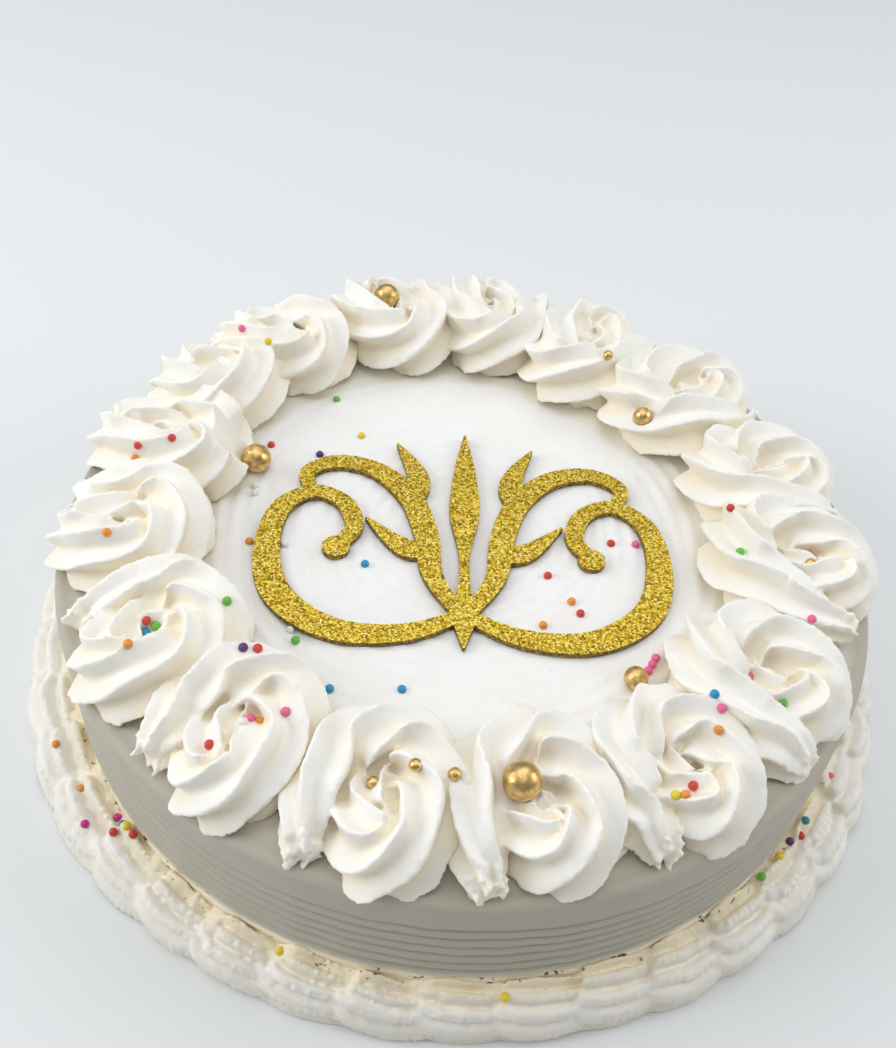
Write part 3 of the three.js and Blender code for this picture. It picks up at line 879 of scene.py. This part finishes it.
def gold_coat():
    """Gold lustre over sugar, duller and browner in small patches."""
    material, tree, shader = new_material("gold_sugar")
    place = tree.nodes.new("ShaderNodeTexCoord")
    patches = tree.nodes.new("ShaderNodeTexNoise")
    patches.inputs["Scale"].default_value = 700
    patches.inputs["Detail"].default_value = 5
    tone = tree.nodes.new("ShaderNodeValToRGB")
    tone.color_ramp.elements[0].position = 0.3
    tone.color_ramp.elements[0].color = (0.48, 0.29, 0.09, 1)
    tone.color_ramp.elements[1].position = 0.62
    tone.color_ramp.elements[1].color = (0.86, 0.62, 0.26, 1)
    dull = tree.nodes.new("ShaderNodeMapRange")
    dull.inputs["From Min"].default_value = 0.3
    dull.inputs["From Max"].default_value = 0.7
    dull.inputs["To Min"].default_value = 0.46
    dull.inputs["To Max"].default_value = 0.28
    bump = tree.nodes.new("ShaderNodeBump")
    bump.inputs["Strength"].default_value = 0.35
    bump.inputs["Distance"].default_value = 0.08 * mm
    link = tree.links.new
    link(place.outputs["Object"], patches.inputs["Vector"])
    link(patches.outputs["Fac"], tone.inputs["Fac"])
    link(patches.outputs["Fac"], dull.inputs["Value"])
    link(patches.outputs["Fac"], bump.inputs["Height"])
    link(tone.outputs["Color"], shader.inputs["Base Color"])
    link(dull.outputs["Result"], shader.inputs["Roughness"])
    link(bump.outputs["Normal"], shader.inputs["Normal"])
    shader.inputs["Metallic"].default_value = 0.92
    return material


def balls(name, middles, radius, segments, material):
    """Balls joined in one mesh, each a hair out of round."""
    shape = bmesh.new()
    draw = np.random.default_rng(len(middles))
    for middle in middles:
        squash = Matrix.Diagonal((*(1 - out_of_round * draw.random(3)), 1))
        place = Matrix.Translation(middle) @ squash
        bmesh.ops.create_uvsphere(
            shape, u_segments=segments, v_segments=segments // 2, radius=radius, matrix=place
        )
    mesh = bpy.data.meshes.new(name)
    shape.to_mesh(mesh)
    shape.free()
    mesh.shade_smooth()
    mesh.materials.append(material)
    piece = bpy.data.objects.new(name, mesh)
    bpy.context.scene.collection.objects.link(piece)
    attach(piece, "root")
    return piece


gold_sugar = gold_coat()
for name in sorted(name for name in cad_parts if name.startswith("pearl_")):
    low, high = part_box(name)
    radius = (high.z - low.z) / 2
    pearl = balls(name + "_ball", [(low + high) / 2], radius, pearl_segments, gold_sugar)
    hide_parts(name)

# ---------------------------------------------------------------- sugar beads
# Hundreds-and-thousands: small sugar beads in bright colours, and a few gold ones, strewn over
# the top, the rosettes and the border. Each is stuck where it fell, a third of it in the cream.
bead_radius = 1.12 * mm
gold_bead_radius = 1.5 * mm
bead_sunk = 0.35
bead_segments = 16
gold_bead_segments = 20
drop_from = 150 * mm
drop_on_border = 30 * mm  # below the rosettes that overhang it
bead_places = {  # distance from the cake's axis in mm and bearing, by colour
    "red": [
        (79, 174.5), (87, 177), (62.5, 155.5), (65.5, 359.5), (38, 359.5), (25.5, 326.5),
        (39, 319), (86.5, 214.5), (71, 231), (94.5, 238), (93.5, 302.5), (109.3, 224.3),
        (107.8, 326.1), (106.5, 226.9),
    ],
    "orange": [
        (88, 177.5), (90, 197.5), (57, 192), (88, 355), (35, 321), (36.5, 303.5), (93.5, 220),
        (83, 240), (87.5, 309.5), (95, 300.5), (112.8, 208.6), (110.6, 215.8),
    ],
    "yellow": [
        (46.5, 134), (79.5, 140.5), (94, 299.5), (106.5, 225.4), (106.6, 321), (106.5, 251.4),
        (108.1, 278.9),
    ],
    "green": [
        (64, 130.5), (68.5, 349.5), (85, 215.5), (57.5, 227.5), (91, 323), (106.5, 316.8),
        (69, 218.5),
    ],
    "blue": [(30, 212), (87.5, 215.5), (62.5, 242.5), (55, 257), (80.5, 314)],
    "teal": [(106.5, 223.9), (107, 327.8)],
    "purple": [(49, 151), (106.5, 324.4), (73.5, 229.5)],
    "pink": [
        (44.5, 0), (88.5, 341), (60.5, 321.5), (61, 319.5), (61.5, 317.5), (83.5, 313.5),
        (80, 243.5), (84, 239), (81.5, 324.5), (108.6, 337.4), (92.5, 140),
    ],
    "magenta": [(106.5, 222.3), (113.5, 220.7)],
    "white": [(59, 171), (58, 174), (48, 194), (56.5, 224), (86, 239)],
}
bead_colors = {
    "red": (0.62, 0.035, 0.02), "orange": (0.82, 0.30, 0.03), "yellow": (0.82, 0.64, 0.03),
    "green": (0.14, 0.50, 0.05), "blue": (0.01, 0.29, 0.56), "teal": (0.02, 0.24, 0.33),
    "purple": (0.09, 0.015, 0.17), "pink": (0.84, 0.13, 0.33), "magenta": (0.58, 0.02, 0.24),
    "white": (0.85, 0.84, 0.80),
}
gold_bead_places = [(86, 259.5), (83.5, 265), (83, 270.5), (70, 58.5), (87, 353)]


def cream_tree(pieces):
    """The cream as it lies, for dropping beads on."""
    points, faces = [], []
    for piece in pieces:
        start = len(points)
        points += [vertex.co for vertex in piece.data.vertices]
        faces += [[start + v for v in face.vertices] for face in piece.data.polygons]
    return BVHTree.FromPolygons(points, faces)


def dropped(cream_surface, places, radius):
    """Middles of balls that lie where they land, straight below the given places."""
    middles = []
    for distance, bearing in places:
        angle = math.radians(bearing)
        above = Vector((distance * math.cos(angle), distance * math.sin(angle), 0)) * mm
        above.z = drop_on_border if distance > border_inner else drop_from
        spot = cream_surface.ray_cast(above, Vector((0, 0, -1)))[0]
        if spot is None:
            raise ValueError(f"no cream below {distance} mm at {bearing} degrees")
        middles.append(spot + Vector((0, 0, radius * (1 - 2 * bead_sunk))))
    return middles


def candy(name, color):
    """A hard sugar shell with a soft gloss, a little paler in places."""
    material, tree, shader = new_material(name)
    place = tree.nodes.new("ShaderNodeTexCoord")
    patches = tree.nodes.new("ShaderNodeTexNoise")
    patches.inputs["Scale"].default_value = 900
    blend = tree.nodes.new("ShaderNodeMix")
    blend.data_type = "RGBA"
    blend.inputs["A"].default_value = (*color, 1)
    blend.inputs["B"].default_value = (*(0.92 * c + 0.03 for c in color), 1)
    tree.links.new(place.outputs["Object"], patches.inputs["Vector"])
    tree.links.new(patches.outputs["Fac"], blend.inputs["Factor"])
    tree.links.new(blend.outputs["Result"], shader.inputs["Base Color"])
    shader.inputs["Roughness"].default_value = 0.35
    return material


cream_surface = cream_tree([cake, border, *rosettes])
for color_name, places in bead_places.items():
    middles = dropped(cream_surface, places, bead_radius)
    sugar = candy("sugar_" + color_name, bead_colors[color_name])
    beads = balls("beads_" + color_name, middles, bead_radius, bead_segments, sugar)
gold_middles = dropped(cream_surface, gold_bead_places, gold_bead_radius)
gold_beads = balls(
    "beads_gold", gold_middles, gold_bead_radius, gold_bead_segments, gold_sugar
)

# ---------------------------------------------------------------- table and light
# A pale matt table top, lit from above and behind by a large soft light, with weaker ones at
# the sides.
table = add_piece(
    "table", [(-3, -3, 0), (3, -3, 0), (3, 3, 0), (-3, 3, 0)], [(0, 1, 2, 3)], []
)
table_top, tree, shader = new_material("table_top")
grain = tree.nodes.new("ShaderNodeTexNoise")
grain.inputs["Scale"].default_value = 3
tone = tree.nodes.new("ShaderNodeMix")
tone.data_type = "RGBA"
tone.inputs["A"].default_value = (0.78, 0.805, 0.82, 1)
tone.inputs["B"].default_value = (0.80, 0.82, 0.83, 1)
tree.links.new(grain.outputs["Fac"], tone.inputs["Factor"])
tree.links.new(tone.outputs["Result"], shader.inputs["Base Color"])
shader.inputs["Roughness"].default_value = 0.9
table.data.materials.append(table_top)

sky = bpy.data.worlds.new("studio")
bpy.context.scene.world = sky
sky.use_nodes = True
sky.node_tree.nodes["Background"].inputs["Color"].default_value = (0.93, 0.96, 1.0, 1)
sky.node_tree.nodes["Background"].inputs["Strength"].default_value = 0.22
light_target = Vector((0, 0, 40)) * mm


def soft_light(name, spot, size, power):
    """A square soft light, aimed at the cake."""
    light = bpy.data.lights.new(name, "AREA")
    light.size = size
    light.energy = power
    lamp = bpy.data.objects.new(name, light)
    lamp.location = spot
    aim = light_target - Vector(spot)
    lamp.rotation_euler = aim.to_track_quat("-Z", "Y").to_euler()
    bpy.context.scene.collection.objects.link(lamp)


soft_light("overhead", (0.0, 0.34, 1.25), 1.7, 10.2)
soft_light("right", (0.95, 0.05, 0.55), 0.7, 3.6)
soft_light("left", (-0.95, -0.15, 0.55), 0.7, 6.2)
soft_light("front", (-0.1, -0.55, 1.35), 1.0, 1.9)
